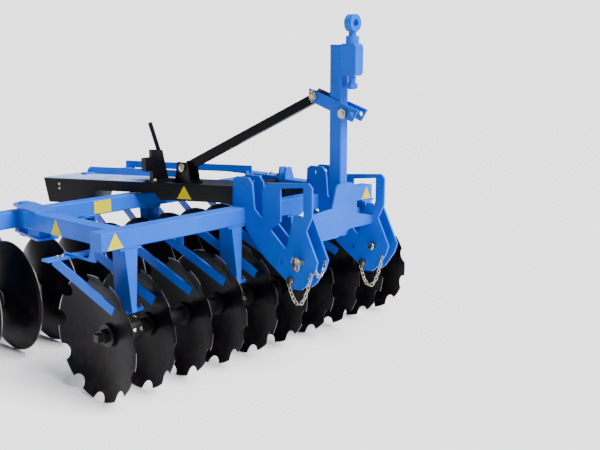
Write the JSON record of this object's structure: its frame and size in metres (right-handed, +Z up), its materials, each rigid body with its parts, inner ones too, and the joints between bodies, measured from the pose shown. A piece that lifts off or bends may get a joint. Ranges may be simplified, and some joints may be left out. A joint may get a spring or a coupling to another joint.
{
  "type": "tractor-mounted offset disc harrow",
  "caption": "Blue three-point-hitch offset disc harrow with a notched front disc gang, a plain rear disc gang on a pivoting beam, mast and stay.",
  "frame": {"origin": "on the ground, at the centre of the machine's bounding box in plan", "axes": "+Z up, -Y forward towards the tractor, +X towards the machine's left side, along the disc gangs"},
  "size_m": [2.459, 2.019, 1.802],
  "materials": {
    "cross_tube": "satin",
    "eye_bolt": "gloss",
    "front_axle": "satin",
    "front_beam": "gloss",
    "front_bearings": "satin",
    "front_discs": "satin",
    "front_hangers": "gloss",
    "front_scraper_bar": "gloss",
    "front_scrapers": "gloss",
    "front_spools": "satin",
    "headstock_crossbar": "gloss",
    "hinge_pin": "gloss",
    "hinge_plate_bottom": "gloss",
    "hinge_plate_top": "gloss",
    "lever": "satin",
    "lever_stand": "satin",
    "link_bracket_far": "gloss",
    "link_bracket_near": "gloss",
    "link_pins": "satin",
    "main_beam": "satin",
    "main_deck": "gloss",
    "mast": "gloss",
    "mast_front_plate": "gloss",
    "mast_head": "gloss",
    "rear_axle": "satin",
    "rear_beam": "gloss",
    "rear_bearings": "satin",
    "rear_discs": "satin",
    "rear_hangers": "gloss",
    "rear_scraper_bar": "gloss",
    "rear_scrapers": "gloss",
    "rear_spools": "satin",
    "rear_warning_plate": "satin",
    "rocker_lug": "gloss",
    "rocker_pivot": "satin",
    "rocker_plates": "gloss",
    "side_beams": "gloss",
    "side_rail": "gloss",
    "slide_plate": "gloss",
    "spare_pins": "satin",
    "stay": "satin",
    "stay_bracket": "satin",
    "stay_pin": "satin",
    "stay_rear_pin": "satin",
    "tube_bracket": "gloss",
    "warning_plates": "satin"
  },
  "bodies": {
    "frame": {"front_beam": "front_beam", "side_beams": "side_beams", "hinge_plate_top": "hinge_plate_top", "hinge_plate_bottom": "hinge_plate_bottom", "hinge_pin": "hinge_pin", "slide_plate": "slide_plate", "main_beam": "main_beam", "main_deck": "main_deck", "link_bracket_near": "link_bracket_near", "link_bracket_far": "link_bracket_far", "link_pins": "link_pins", "spare_pins": "spare_pins", "mast": "mast", "mast_front_plate": "mast_front_plate", "headstock_crossbar": "headstock_crossbar", "mast_head": "mast_head", "eye_bolt": "eye_bolt", "rocker_plates": "rocker_plates", "rocker_pivot": "rocker_pivot", "rocker_lug": "rocker_lug", "stay_pin": "stay_pin", "stay": "stay", "stay_bracket": "stay_bracket", "stay_rear_pin": "stay_rear_pin", "lever_stand": "lever_stand", "lever": "lever", "cross_tube": "cross_tube", "tube_bracket": "tube_bracket", "side_rail": "side_rail", "warning_plates": "warning_plates", "front_hangers": "front_hangers", "front_bearings": "front_bearings", "front_scraper_bar": "front_scraper_bar", "front_scrapers": "front_scrapers"},
    "front_gang": {"front_discs": "front_discs", "front_spools": "front_spools", "front_axle": "front_axle"},
    "rear_frame": {"rear_beam": "rear_beam", "rear_hangers": "rear_hangers", "rear_bearings": "rear_bearings", "rear_scraper_bar": "rear_scraper_bar", "rear_scrapers": "rear_scrapers", "rear_warning_plate": "rear_warning_plate"},
    "rear_gang": {"rear_discs": "rear_discs", "rear_spools": "rear_spools", "rear_axle": "rear_axle"}
  },
  "joints": [
    {"name": "front_gang_spin", "type": "hinge", "parent": "frame", "child": "front_gang", "pos_m": [0.0215, -0.4615, 0.305], "axis": [1, 0, 0], "continuous": true},
    {"name": "rear_gang_angle", "type": "hinge", "parent": "frame", "child": "rear_frame", "pos_m": [-0.7785, 0.4355, 0.73], "axis": [0, 0, 1], "range_deg": [0, 8]},
    {"name": "rear_gang_spin", "type": "hinge", "parent": "rear_frame", "child": "rear_gang", "pos_m": [0.0215, 0.4935, 0.305], "axis": [1, 0, 0], "continuous": true}
  ]
}
